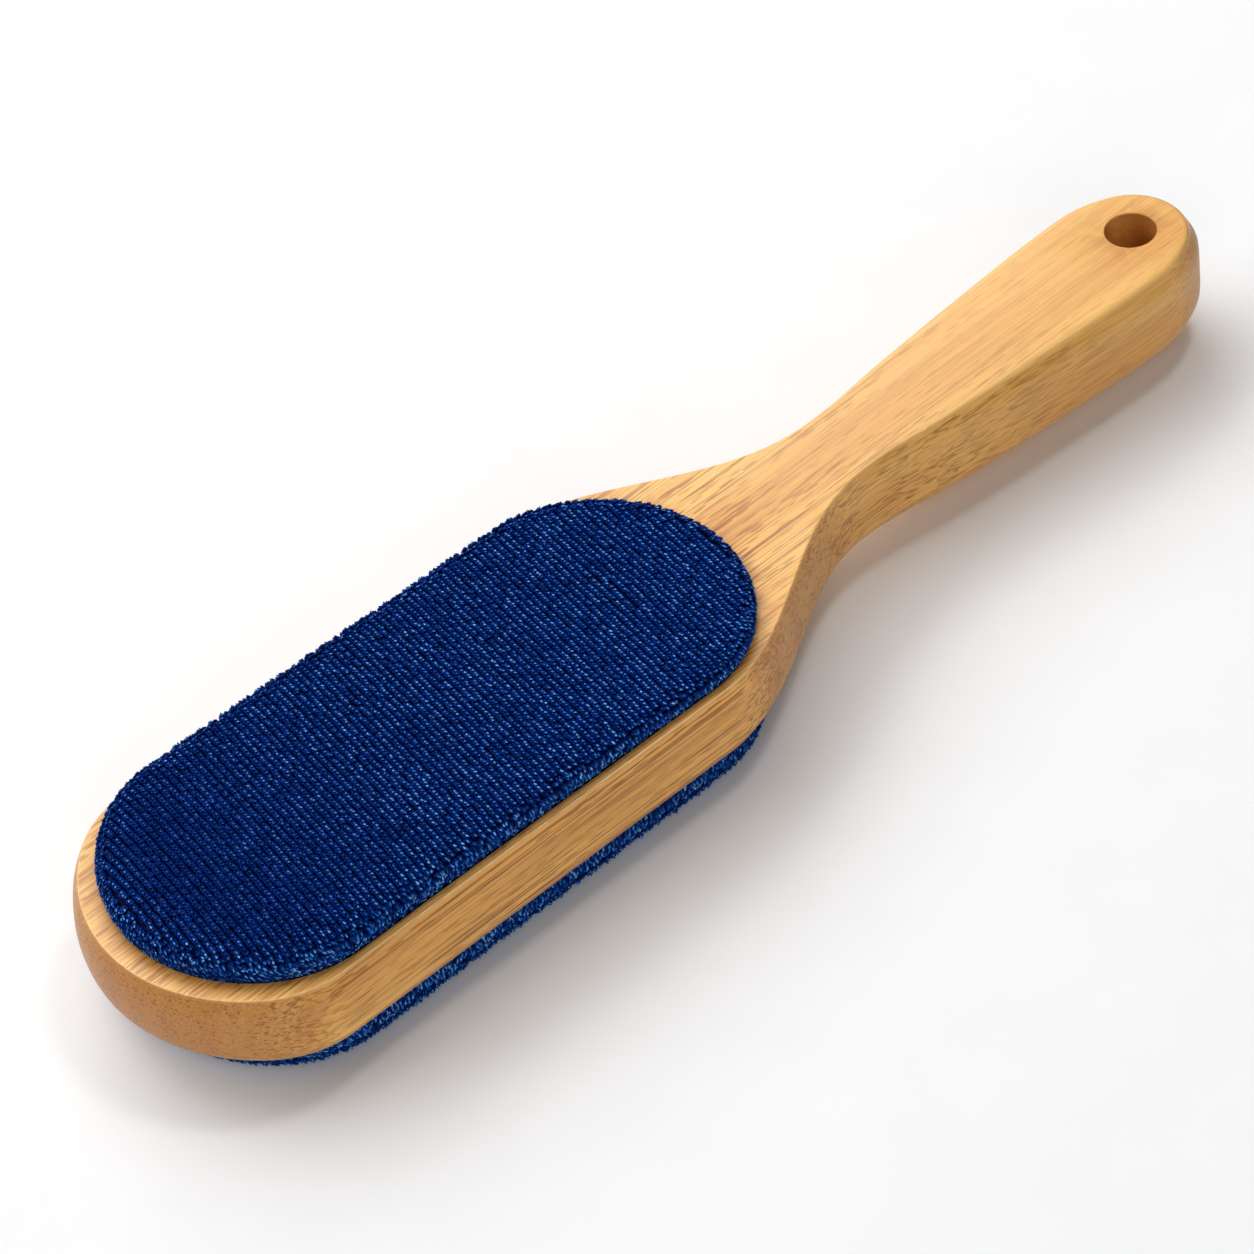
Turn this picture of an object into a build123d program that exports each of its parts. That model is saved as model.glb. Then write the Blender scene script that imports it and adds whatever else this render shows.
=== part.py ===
from build123d import *
import math
import os

# Clothes brush: one wooden body, with a crowned pile pad let into each of its two faces.
# X runs along the brush from the nose to the end of the handle, Y across it and Z up.
# The origin is under the middle of the brush, on the surface that the lower pad rests on.
# All sizes are in millimetres. Stations along X are built up from the nose tip, in order.

# ---- wooden body, seen from above ----
head_width = 60.2
nose_depth = 25.0              # nose tip back to where the sides run parallel
parallel_length = 84.4         # straight sides of the head
shoulder_length = 22.8         # parallel sides to the flare
flare_width = 42.7
neck_length = 22.8             # flare to the waist
waist_width = 20.0
throat_length = 24.3           # waist to the start of the grip
grip_width = 21.8
grip_length = 25.5             # start of the grip to the palm swell
palm_width = 26.2
swell_length = 26.4            # palm swell to the widest station of the handle
handle_width = 28.4
handle_end_depth = 18.8        # widest station to the end of the handle

# ---- wooden body, seen from the side ----
body_thickness = 16.0
arris_inset = 2.0              # facet that breaks the edges of both faces, measured in from the side
arris_drop = 3.4               # and down from the face
flank_radius = 5.0             # rounds the facet into the flank
arris_radius = 0.8             # eases the facet into the face
hanging_hole_diameter = 9.5
hole_to_end = 12.2             # centre of the hanging hole to the end of the handle

# ---- recess that holds a pad ----
side_rim = 2.2                 # wood left beside the pad
nose_rim = 4.7                 # wood left in front of the pad
recess_depth = 2.0
recess_clearance = 0.2         # all round the pad

# ---- pad ----
pad_length = 128.0
pad_nose_depth = 25.1          # round part of the pad towards the nose
pad_neck_depth = 25.0          # round part of the pad towards the neck
pad_height = 7.3               # crown above the wood
bulge_height = 1.6             # where the pad is widest, above the wood
waist_inset = 0.5              # how far the sides are drawn in where they enter the recess
crown_run = 20.0               # rim of the pad in to its nearly level middle
crown_fullness = 3.4           # 2 is an ellipse, more is squarer
crown_steps = 8
crown_fall = 4.5               # how much lower the upper crown is at its neck end than at its nose end
cover_thickness = 1.6          # ground cloth and pile
hem_thickness = 0.8            # where the pile is crushed flat under the board
hem_width = 6.0                # cover turned in under the board
board_thickness = 1.5
layer_clearance = 0.1          # between the cover and what it wraps
rest_flat = 0.5                # how deep the lower crown is pressed flat where the brush lies on it

# ---- stations along X, from the nose tip ----
shoulder_x = nose_depth + parallel_length
flare_x = shoulder_x + shoulder_length
waist_x = flare_x + neck_length
grip_x = waist_x + throat_length
palm_x = grip_x + grip_length
widest_x = palm_x + swell_length
overall_length = widest_x + handle_end_depth
hole_x = overall_length - hole_to_end
pad_width = head_width - 2 * side_rim
flat_tolerance = 0.01          # how closely an edge lies in its level

# ---- levels along Z ----
pressed_height = pad_height - rest_flat
body_bottom_z = pressed_height
body_top_z = body_bottom_z + body_thickness

# ---- levels in a pad, from the face of the wood ----
recess_floor = -recess_depth
hem_top = recess_floor + hem_thickness
board_top = hem_top + board_thickness


def arc_join(half_width, depth):
    """Where the side arc of a round end meets its tip arc, from the start of the round part."""
    side_radius = depth ** 2 / half_width
    along = (2 * depth + half_width) / (2 * depth)
    across = (half_width + depth) / half_width
    size = math.hypot(along, across)
    return side_radius * along / size, half_width - side_radius + side_radius * across / size


def round_end(start_x, half_width, depth):
    """Upper half of a round end that starts at start_x; a negative depth makes it face the nose."""
    way = math.copysign(1, depth)
    join_x, join_y = arc_join(half_width, abs(depth))
    join = (start_x + way * join_x, join_y)
    side = TangentArc((start_x, half_width), join, tangent=(way, 0))
    tip = TangentArc((start_x + depth, 0), join, tangent=(0, 1))
    return [side, tip]


def closed_outline(upper_edges):
    """Face between the upper half of an outline and its mirror image below the X axis."""
    upper = Curve() + upper_edges
    return make_face(upper + mirror(upper, about=Plane.XZ))


def body_outline():
    half_head = head_width / 2
    half_handle = handle_width / 2
    neck = Spline(
        (shoulder_x, half_head),
        (flare_x, flare_width / 2),
        (waist_x, waist_width / 2),
        (grip_x, grip_width / 2),
        (palm_x, palm_width / 2),
        (widest_x, half_handle),
        tangents=[(1, 0), (1, 0)],
    )
    nose = round_end(nose_depth, half_head, -nose_depth)
    side = Line((nose_depth, half_head), (shoulder_x, half_head))
    handle_end = round_end(widest_x, half_handle, handle_end_depth)
    return closed_outline([*nose, side, neck, *handle_end])


def pad_outline(inset):
    """Plan of a pad, drawn in by inset all round."""
    half_width = pad_width / 2 - inset
    nose_x = nose_rim + pad_nose_depth
    neck_x = nose_rim + pad_length - pad_neck_depth
    nose = round_end(nose_x, half_width, inset - pad_nose_depth)
    side = Line((nose_x, half_width), (neck_x, half_width))
    neck = round_end(neck_x, half_width, pad_neck_depth - inset)
    return closed_outline([*nose, side, *neck])


def plate(inset, low_z, high_z):
    """Flat layer of a pad, drawn in by inset, between two levels."""
    return extrude(Pos(0, 0, low_z) * pad_outline(inset), high_z - low_z)


def crowned_form(skin, floor_z, crown_z, fall):
    """Outside of a pad, drawn in by skin, up to a level crown that starts at crown_z and falls by fall."""
    straight = waist_inset + skin
    sections = [(straight, floor_z), (straight, 0)]
    for step in range(crown_steps + 1):
        turn = math.pi / 2 * step / crown_steps
        run = crown_run * (1 - math.cos(turn) ** (2 / crown_fullness))
        rise = (pad_height - skin - bulge_height) * math.sin(turn) ** (2 / crown_fullness)
        sections.append((skin + run, bulge_height + rise))
    form = loft([Pos(0, 0, z) * pad_outline(inset) for inset, z in sections], ruled=True)
    crown = Plane(origin=(nose_rim, 0, crown_z - skin), z_dir=(fall, 0, pad_length))
    return split(form, bisect_by=crown, keep=Keep.BOTTOM)


def pile_cover(crown_z, fall):
    """Shell of pile fabric over the foam, turned in under the board as a hem."""
    cavity = crowned_form(cover_thickness, hem_top, crown_z, fall)
    mouth = plate(waist_inset + hem_width, recess_floor, hem_top)
    return crowned_form(0, recess_floor, crown_z, fall) - cavity - mouth


def foam_pad(crown_z, fall):
    """Crowned foam between the board and the cover."""
    form = crowned_form(cover_thickness + layer_clearance, recess_floor, crown_z, fall)
    return split(form, bisect_by=Plane.XY.offset(board_top), keep=Keep.TOP)


def backing_board():
    """Stiff board that the cover is pulled over."""
    return plate(waist_inset + cover_thickness + layer_clearance, hem_top, board_top)


def adhesive_sheet():
    """Sheet inside the hem that bonds the board to the floor of the recess."""
    return plate(waist_inset + hem_width + layer_clearance, recess_floor, hem_top)


def edges_at(body, level):
    """Edges of the body that lie in the level plane."""
    return body.edges().filter_by_position(Axis.Z, level - flat_tolerance, level + flat_tolerance)


def wooden_body():
    """Flat body with eased edges, a hanging hole and a recess in each face, all in one piece."""
    body = extrude(Pos(0, 0, body_bottom_z) * body_outline(), body_thickness)
    for place in (-1, 0):
        face = body.faces().sort_by(Axis.Z)[place]
        body = chamfer(face.edges(), arris_inset, arris_drop, reference=face)
    lower_facet_z = body_bottom_z + arris_drop
    upper_facet_z = body_top_z - arris_drop
    body = fillet(edges_at(body, lower_facet_z) + edges_at(body, upper_facet_z), flank_radius)
    body = fillet(edges_at(body, body_bottom_z) + edges_at(body, body_top_z), arris_radius)
    hole = Pos(hole_x, 0, body_bottom_z) * Circle(hanging_hole_diameter / 2)
    recess = pad_outline(waist_inset - recess_clearance)
    body -= extrude(hole, body_thickness)
    body -= extrude(Pos(0, 0, body_top_z) * recess, -recess_depth)
    body -= extrude(Pos(0, 0, body_bottom_z) * recess, recess_depth)
    return body


def pad_layers(crown_z, fall):
    """The four pieces of one pad, as it lies in the face of the wood at level zero."""
    return {
        "pile_cover": pile_cover(crown_z, fall),
        "foam_pad": foam_pad(crown_z, fall),
        "backing_board": backing_board(),
        "adhesive_sheet": adhesive_sheet(),
    }


nodes = {"wooden_body": wooden_body()}
for name, layer in pad_layers(pad_height, crown_fall).items():
    nodes["upper_" + name] = Pos(0, 0, body_top_z) * layer
for name, layer in pad_layers(pressed_height, 0).items():
    nodes["lower_" + name] = Pos(0, 0, body_bottom_z) * mirror(layer, about=Plane.XY)

os.makedirs("parts", exist_ok=True)
for name, solid in nodes.items():
    export_step(Pos(-overall_length / 2, 0, 0) * solid, f"parts/{name}.step")
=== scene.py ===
import math

import bmesh
import bpy
import numpy as np
from mathutils import Matrix, Vector


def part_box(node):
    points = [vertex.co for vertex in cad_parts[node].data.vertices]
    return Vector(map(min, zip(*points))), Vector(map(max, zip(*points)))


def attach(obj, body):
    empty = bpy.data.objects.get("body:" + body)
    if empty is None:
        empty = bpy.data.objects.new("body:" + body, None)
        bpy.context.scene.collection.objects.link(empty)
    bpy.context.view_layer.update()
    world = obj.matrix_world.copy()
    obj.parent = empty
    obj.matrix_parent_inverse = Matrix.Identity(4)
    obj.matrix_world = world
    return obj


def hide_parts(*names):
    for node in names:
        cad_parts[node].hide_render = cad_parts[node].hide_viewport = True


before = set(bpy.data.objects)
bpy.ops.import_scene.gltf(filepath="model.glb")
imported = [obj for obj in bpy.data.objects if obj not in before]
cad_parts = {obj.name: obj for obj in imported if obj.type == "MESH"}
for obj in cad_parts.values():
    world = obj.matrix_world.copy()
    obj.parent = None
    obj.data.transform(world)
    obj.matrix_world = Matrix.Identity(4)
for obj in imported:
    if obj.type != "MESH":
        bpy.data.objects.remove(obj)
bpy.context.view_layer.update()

# Clothes brush: the finished wooden body, and in each of its faces a pad planted with pile.
# All sizes are in metres. X runs from the nose to the end of the handle, and Z is up.
MM = 0.001

# ---- the brush's own sizes, repeated from its construction ----
HEAD_WIDTH = 60.2 * MM
NOSE_DEPTH = 25.0 * MM
PARALLEL_LENGTH = 84.4 * MM
STATION_GAPS = [NOSE_DEPTH + PARALLEL_LENGTH, 22.8 * MM, 22.8 * MM, 24.3 * MM, 25.5 * MM, 26.4 * MM]
STATION_WIDTHS = [HEAD_WIDTH, 42.7 * MM, 20.0 * MM, 21.8 * MM, 26.2 * MM, 28.4 * MM]
HANDLE_END_DEPTH = 18.8 * MM
HOLE_RADIUS = 4.75 * MM
HOLE_TO_END = 12.2 * MM
SIDE_RIM = 2.2 * MM
NOSE_RIM = 4.7 * MM
RECESS_DEPTH = 2.0 * MM
RECESS_CLEARANCE = 0.2 * MM
PAD_LENGTH = 128.0 * MM
PAD_NOSE_DEPTH = 25.1 * MM
PAD_NECK_DEPTH = 25.0 * MM
PAD_HEIGHT = 7.3 * MM
BULGE_HEIGHT = 1.6 * MM
WAIST_INSET = 0.5 * MM
CROWN_RUN = 20.0 * MM
CROWN_FULLNESS = 3.4
CROWN_FALL = 4.5 * MM          # how much lower the upper crown is at the neck than at the nose

body_low, body_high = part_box("wooden_body")
NOSE_X = body_low.x
END_X = body_high.x
BRUSH_LENGTH = END_X - NOSE_X
FACE_TOP = body_high.z
FACE_BOTTOM = body_low.z
THICKNESS = FACE_TOP - FACE_BOTTOM
PRESSED_HEIGHT = FACE_BOTTOM   # of the lower crown, which the weight of the brush presses level

# ---- wooden body ----
HEAD_EDGE = (0.9 * MM, 2.7 * MM, 0.35 * MM, 1.4 * MM)    # inset, drop, easing into the face and the flank
LOWER_EDGE = (2.0 * MM, 3.4 * MM, 0.35 * MM, 1.6 * MM)   # the same under the head
SOFT_EDGE = (2.0 * MM, 3.2 * MM, 1.2 * MM, 2.0 * MM)     # and on both faces of the handle
SOFT_FROM = 150 * MM           # from the nose to where the edges begin to soften
SOFT_OVER = 45 * MM            # and how long they take to
NOSE_BULGE = 1.0 * MM          # how much fuller the nose is between its faces
BULGE_TO = 45 * MM             # from the nose to where that has gone
BULGE_POWER = 1.5              # more keeps the fullness nearer the middle of the flank
HANDLE_SWELL = 1.4 * MM        # how much fuller each face of the handle is at its end
HOLE_EASE = 0.15 * MM          # breaks the edges of the hanging hole
EDGE_WEAR_AND_HIGHLIGHT = (0.4, 0.9, 1.0, 1.0, 0.9, 0.6, 0.3)    # how pale the first rings of an edge are: partly worn by handling, partly a painted highlight along the ridge
END_GRAIN_FROM = 0.2           # the wood turns to end grain as its surface faces along the brush
END_GRAIN_POWER = 0.7          # less brings the end grain on sooner

# ---- ground cloth of a pad ----
GROUND_DEPTH = 0.8 * MM        # ground cloth below the mean pile surface
CROWN_EASE = 3.0 * MM          # rounds the side of the pad into its crown within this
PADS = {"upper": (1, FACE_TOP, 7), "lower": (-1, FACE_BOTTOM, 17)}    # way out, face, seed of its first pile

# ---- ribs of pile ----
ROW_PITCH = 1.29 * MM          # between the ribs, which run across the brush
TUFT_PITCH = 0.86 * MM         # along a rib
ROW_TURN = math.radians(-7.7)  # the ribs lie this far off square
PILE_WAY = (math.sin(ROW_TURN), -math.cos(ROW_TURN), 0.0)
ROW_STRAY = 0.03               # how far the tufts stray out of their rib, to the pitch
TUFT_STRAY = 0.10              # and along it
TUFT_VARIETY = {"Least Size": 0.94, "Greatest Size": 1.07, "Yaw": 0.10, "Tilt": 0.07}    # radians
PLACE_SEED = 7                 # of the places of the tufts on both pads
PILE_BANDS = 4                 # pieces that the pile of each pad is made in
PRESS_ROOM = 1.15              # the lower pile is pressed where it has less room than this, to its height
LEAST_PRESSED = 0.3            # and keeps at least this share of its height

# ---- border of a pad: even rows of tufts that follow its edge ----
BORDER_INSET = 1.9 * MM        # seen from above, they lie within this of the edge
BORDER_STEP = 0.7 * MM         # between the rows
BORDER_START = 0.4             # from the hem to the first row, to the step
BORDER_PITCH = 0.84 * MM       # between the tufts of a row
BORDER_SIZE = 0.82             # of the tufts in them, to the others
BORDER_LEAN = 0.5              # how unevenly they lean
BORDER_STRAY = 0.12            # how far they stray along their row, to the pitch
BORDER_WANDER = 0.08 * MM      # and out of it

# ---- one tuft ----
PILE_HEIGHT = 1.1 * MM
PILE_LEAN = 1.0 * MM           # how far the tips hang over along the rib
STRAND_RADIUS = 0.34 * MM
STRAND_GAP = 0.29 * MM         # between strands along a rib
RIB_WIDTH = 0.56 * MM          # between the two lines of strands that make a rib
STRAND_CORNERS = (0.0, 2.094, 4.189)                   # radians round a strand
STRAND_SWAY = 0.06 * MM        # how unevenly the strands lean
STRAND_HEIGHTS = (0.96, 1.02)  # least and greatest, to the height of the pile
SILKY_LEAN = 1.45              # of a silky strand, to a dull one
SILKY_HEIGHT = 1.14            # the same
DULL_RINGS = ((0.0, 0.9, 0.0), (0.82, 1.0, 0.62))      # share of the height, width and lean
SILKY_RINGS = ((0.0, 0.9, 0.0), (0.70, 1.0, 0.45), (0.93, 0.9, 0.82))
TUFT_KINDS = 4                 # for the ribs, then as many again for the border
ROW_TUFT = ((-1, 0, 1), 0.65)  # places of the dull strands along a rib, width of the silky one to theirs
BORDER_TUFT = ((-0.6, 0.6), 0.85)

# ---- painted highlight: how pale the silky strands are painted, for the light they would catch ----
ROW_PAINTED_GLINT = (0.35, 1.0, 1.5)   # least, greatest, and a power that makes the bright ones rarer
EDGE_PAINTED_GLINT = (0.1, 1.0, 1.4)   # the same beside the border
EDGE_GAIN = 1.35               # how much more painted highlight they get there
EDGE_GLINT = 5.0 * MM          # within this of the border
CALM_PAINTED_GLINT = 0.2               # share of their painted highlight that they keep at the nose
CALM_OVER = 40 * MM            # the length over which their painted highlight grows to the whole
CALM_START = 0.4               # from the nose to where that length starts, to its own length

# ---- how finely the meshes are divided ----
ARC_POINTS = 60
NECK_POINTS = 400
BODY_POINTS = 720
EDGE_RINGS = 16
FLANK_RINGS = 6
HOLE_POINTS = 96
SLICE_STEP = 4 * MM            # between the cuts that let the faces of the handle swell
FLAT_FROM = 0.9999             # least upright part of the normal of a flat face
PAD_POINTS = 480
PROFILE_STEPS = 40
HEM_POINTS = 2400
CROWN_STEPS = 60
NORMAL_STEP = 0.15 * MM        # to either side of a place whose normal is measured
BATCH = 500                    # tufts whose nearest hem is looked up at once
CRISP_FROM = 40                # degrees between two faces that leave their edge crisp
CLOTH_CRISP_FROM = 80          # the same on the ground cloth

# ---- wood: cells in a metre along and across the grain, and stops of its ramps ----
WAVER_CELLS = (9, 25)
WAVER_DEPTH = 2.0 * MM         # how far the fibres may stray from straight
BAND_CELLS = (6, 210, 60)
FIBRE_CELLS = (45, 2200)
CROWD_CELLS = (8, 260)
LINE_CELLS = (8, 1150)
PORE_CELLS = (160, 1150, 1900)
BAND_TONES = [
    (0.30, (0.77, 0.345, 0.074)), (0.43, (0.90, 0.440, 0.102)), (0.56, (1.0, 0.550, 0.148)),
    (0.72, (0.92, 0.460, 0.112)),
]
END_TONE, END_TONE_SHARE = (0.82, 0.370, 0.082, 1), 0.8
END_SHADE = (0.60, 0.51, 0.43, 1)
FIBRE_SHADES, FIBRE_SHARE = [(0.34, 0.78), (0.58, 1.0)], 0.8
CROWDING = [(0.34, 0.45), (0.52, 1.0)]
FIGURE_FADE = [(0.55, 1.0), (0.90, 0.25)]              # from the nose (0) to the end of the handle (1)
LINE_WIDTH, LINE_BROWN = [(0.012, 1.0), (0.06, 0.0)], (0.36, 0.118, 0.014, 1)
PORE_WIDTH, PORE_BROWN = [(0.24, 1.0), (0.36, 0.0)], (0.38, 0.120, 0.016, 1)
PORE_SHARE = 0.8
# painted shade: the wood darker towards the end of the handle, where the light falls off
HANDLE_PAINTED_SHADE = [(0.56, (1.0, 1.0, 1.0)), (0.72, (0.91, 0.88, 0.86))]
# the pale gold of the edges and how strongly it shows: partly wear, partly a painted highlight along the
# ridge
WORN_HIGHLIGHT_GOLD, WORN_HIGHLIGHT_SHARE = (1.0, 0.61, 0.22, 1), 0.6
WOOD_ROUGHNESS = 0.28
FIBRE_ROUGHNESS = 0.22         # added by the fibres
WORN_POLISH = -0.22            # taken off where the edge is worn
FIBRE_RELIEF = 0.35            # to that of the pores

# ---- cells and colours of the other finishes ----
WEAVE_CELLS = (1 / ROW_PITCH, 2200)
WEAVE_BLUES = [(0.1, (0.001, 0.010, 0.085)), (0.8, (0.0005, 0.003, 0.03))]
PILE_CELLS = (700, 900)        # of the patches that vary its blue
DULL_BLUES = [(0.0, (0.0002, 0.011, 0.125)), (1.0, (0.0005, 0.027, 0.25))]
# pale blues of the silky strands: a painted highlight standing in for the light they catch
SILKY_HIGHLIGHT_BLUES = [(0.1, (0.008, 0.16, 0.72)), (0.5, (0.05, 0.34, 0.95)), (0.9, (0.22, 0.60, 1.0))]
ROOT_PAINTED_SHADE = [(0.25, (0.02, 0.03, 0.06)), (0.82, (1.0, 1.0, 1.0))]    # painted shade between the strands, from the root (0) to the tip (1)
PILE_ROUGHNESS, SILKY_POLISH = 0.42, -0.05
FOAM_CREAMS = [(0.1, (0.42, 0.40, 0.34)), (0.6, (0.70, 0.68, 0.60))]
BOARD_BROWNS = [(0.35, (0.20, 0.16, 0.11)), (0.65, (0.34, 0.28, 0.20))]
ADHESIVE_AMBERS = [(0.35, (0.55, 0.40, 0.16)), (0.65, (0.68, 0.52, 0.25))]
ADHESIVE_ROUGHNESS, RIPPLE_ROUGHNESS = 0.25, 0.2
PAPER_WHITES = [(0.3, 0.90), (0.7, 0.915)]

# ---- camera ----
CAMERA_AZIMUTH = -36.04
CAMERA_ELEVATION = 44.47
CAMERA_ROLL = -8.76
CAMERA_DISTANCE = 0.8353
CAMERA_FOCUS = Vector((-0.0169, -0.00541, FACE_TOP))
CAMERA_REACH = 20
FRAME_WIDTH_MM = 36.0
FOCAL_LENGTH_MM = 140.54

# ---- floor and lights ----
FLOOR_SIZE = 3.0
ROOM_COLOUR = (1.0, 0.97, 0.93, 1)
ROOM_STRENGTH = 0.05
WHITE = (1, 1, 1)
ORIGIN = (0, 0, 0)
SOFTBOXES = [                  # name, place, aim, width and height, watts, colour
    ("window", (-0.25, 0.95, 0.92), ORIGIN, (3.0, 0.8), 19.5, (0.99, 1.0, 1.02)),
    ("overhead", (0.16, 0.62, 1.22), ORIGIN, (1.3, 1.1), 8.3, WHITE),
    ("front", (-0.62, -0.86, 0.75), ORIGIN, (0.9, 0.9), 5.5, WHITE),
    ("near_edge", (0.36, -0.05, 1.0), (-0.06, 0, 0), (0.17, 0.17), 1.6, WHITE),
]


# ------------------------------------------------------------------ outlines
def smooth(share):
    """Eases a share in from 0 and out to 1."""
    return share ** 2 * (3 - 2 * share)


def end_arc(half_width, depth):
    """Side arc then tip arc of a round end, from (0, half_width) to (depth, 0)."""
    side_radius = depth ** 2 / half_width
    tip_radius = half_width * (half_width + depth) / (2 * depth)
    turn = math.atan2((half_width + depth) / half_width, (2 * depth + half_width) / (2 * depth))
    side = np.linspace(math.pi / 2, turn, ARC_POINTS)
    tip = np.linspace(turn, 0, ARC_POINTS)[1:]
    xs = np.r_[side_radius * np.cos(side), depth - tip_radius + tip_radius * np.cos(tip)]
    ys = np.r_[half_width - side_radius + side_radius * np.sin(side), tip_radius * np.sin(tip)]
    return xs, ys


def smooth_widths(stations, half_widths, xs):
    """Cubic spline through the half widths, level at both ends."""
    count = len(stations)
    gaps = np.diff(stations)
    rises = np.diff(half_widths) / gaps
    system = np.eye(count)
    target = np.zeros(count)
    for k in range(1, count - 1):
        system[k, k - 1:k + 2] = gaps[k], 2 * (gaps[k - 1] + gaps[k]), gaps[k - 1]
        target[k] = 3 * (gaps[k] * rises[k - 1] + gaps[k - 1] * rises[k])
    slopes = np.linalg.solve(system, target)
    k = np.clip(np.searchsorted(stations, xs, side="right") - 1, 0, count - 2)
    t = (xs - stations[k]) / gaps[k]
    return (
        (2 * t ** 3 - 3 * t ** 2 + 1) * half_widths[k]
        + (t ** 3 - 2 * t ** 2 + t) * gaps[k] * slopes[k]
        + (3 * t ** 2 - 2 * t ** 3) * half_widths[k + 1]
        + (t ** 3 - t ** 2) * gaps[k] * slopes[k + 1]
    )


def even_loop(xs, ys, count):
    """Closed loop of evenly spaced points from the upper half of an outline, with inward normals."""
    xs, ys = np.r_[xs, xs[-2:0:-1]], np.r_[ys, -ys[-2:0:-1]]
    xs, ys = np.r_[xs, xs[0]], np.r_[ys, ys[0]]
    walked = np.r_[0, np.cumsum(np.hypot(np.diff(xs), np.diff(ys)))]
    at = np.linspace(0, walked[-1], count, endpoint=False)
    loop = np.c_[np.interp(at, walked, xs), np.interp(at, walked, ys)]
    along = np.roll(loop, -1, axis=0) - np.roll(loop, 1, axis=0)
    along /= np.linalg.norm(along, axis=1, keepdims=True)
    return loop, np.c_[along[:, 1], -along[:, 0]]


def body_loop(count):
    """Outline of the wooden body, seen from above."""
    stations = np.cumsum(STATION_GAPS)
    half_widths = np.array(STATION_WIDTHS) / 2
    nose_x, nose_y = end_arc(HEAD_WIDTH / 2, NOSE_DEPTH)
    neck_x = np.linspace(stations[0], stations[-1], NECK_POINTS)
    tip_x, tip_y = end_arc(half_widths[-1], HANDLE_END_DEPTH)
    xs = np.r_[(NOSE_DEPTH - nose_x)[::-1], neck_x, (stations[-1] + tip_x)[1:]]
    ys = np.r_[nose_y[::-1], smooth_widths(stations, half_widths, neck_x), tip_y[1:]]
    return even_loop(NOSE_X + xs, ys, count)


def pad_loop(inset, count):
    """Outline of a pad, seen from above and drawn in by inset all round."""
    half_width = HEAD_WIDTH / 2 - SIDE_RIM - inset
    nose_x, nose_y = end_arc(half_width, PAD_NOSE_DEPTH - inset)
    neck_x, neck_y = end_arc(half_width, PAD_NECK_DEPTH - inset)
    nose_start = NOSE_RIM + PAD_NOSE_DEPTH
    neck_start = NOSE_RIM + PAD_LENGTH - PAD_NECK_DEPTH
    xs = np.r_[(nose_start - nose_x)[::-1], neck_start + neck_x]
    ys = np.r_[nose_y[::-1], neck_y]
    return even_loop(NOSE_X + xs, ys, count)


# ------------------------------------------------------------------ meshes
def skin(mesh, rings):
    """Quads between successive rings of vertices, wound outwards for rings that go down a solid."""
    for upper, lower in zip(rings, rings[1:]):
        count = len(upper)
        for k in range(count):
            n = (k + 1) % count
            mesh.faces.new((upper[k], lower[k], lower[n], upper[n]))


def ring(mesh, points, z):
    """Loop of vertices over (x, y) points; z is one level or a level for each."""
    levels = np.broadcast_to(z, len(points))
    return [mesh.verts.new((x, y, level)) for (x, y), level in zip(points, levels)]


def loop_edges(ring_vertices):
    """The edges that already join a loop of vertices."""
    edges = []
    for k, vertex in enumerate(ring_vertices):
        following = ring_vertices[(k + 1) % len(ring_vertices)]
        edges += [edge for edge in vertex.link_edges if edge.other_vert(vertex) is following]
    return edges


def fill(mesh, *rings_to_join):
    """Flat face inside the first ring, with the other rings as holes in it."""
    edges = [edge for one in rings_to_join for edge in loop_edges(one)]
    bmesh.ops.triangle_fill(mesh, use_beauty=True, edges=edges)


def smooth_mesh(name, mesh, material):
    """Smooth mesh of one material from a bmesh, with its faces turned outwards."""
    bmesh.ops.recalc_face_normals(mesh, faces=mesh.faces[:])
    data = bpy.data.meshes.new(name)
    mesh.to_mesh(data)
    mesh.free()
    data.shade_smooth()
    data.materials.append(material)
    return data


def shown(name, data):
    """Object in the scene that shows a mesh, a lamp or a camera."""
    made = bpy.data.objects.new(name, data)
    bpy.context.scene.collection.objects.link(made)
    return made


def finished(name, mesh, material, crisp_from=CRISP_FROM):
    """Piece from a bmesh, smooth but for its crisp edges."""
    data = smooth_mesh(name, mesh, material)
    data.set_sharp_from_angle(angle=math.radians(crisp_from))
    return shown(name, data)


def keep_values(data, name, values):
    """Keeps a value on each vertex of a mesh."""
    data.attributes.new(name, "FLOAT", "POINT").data.foreach_set("value", values)


# ------------------------------------------------------------------ nodes
def node(tree, kind, inputs=None, **settings):
    """Adds a node and fills its inputs with values or with other nodes' outputs."""
    made = tree.nodes.new(kind)
    for key, value in settings.items():
        setattr(made, key, value)
    for socket, value in (inputs or {}).items():
        if isinstance(value, bpy.types.NodeSocket):
            tree.links.new(value, made.inputs[socket])
        else:
            made.inputs[socket].default_value = value
    return made


def ramp(tree, factor, stops):
    """Colour ramp from (position, colour or grey) stops."""
    made = node(tree, "ShaderNodeValToRGB", {"Fac": factor})
    elements = made.color_ramp.elements
    while len(elements) < len(stops):
        elements.new(0.5)
    for element, (position, colour) in zip(elements, stops):
        element.position = position
        grey = not isinstance(colour, tuple)
        element.color = (colour, colour, colour, 1) if grey else (*colour, 1)
    return made.outputs["Color"]


def mix(tree, factor, first, second, blend="MIX"):
    """Two colours mixed by a factor."""
    inputs = {0: factor, 6: first, 7: second}
    return node(tree, "ShaderNodeMix", inputs, data_type="RGBA", blend_type=blend).outputs[2]


def maths(tree, operation, first, second=0.0, third=0.0, clamp=False):
    """One operation on up to three values."""
    made = node(tree, "ShaderNodeMath", {0: first, 1: second, 2: third}, operation=operation)
    made.use_clamp = clamp
    return made.outputs[0]


def times(tree, first, second):
    """Product of two values."""
    return maths(tree, "MULTIPLY", first, second)


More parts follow.
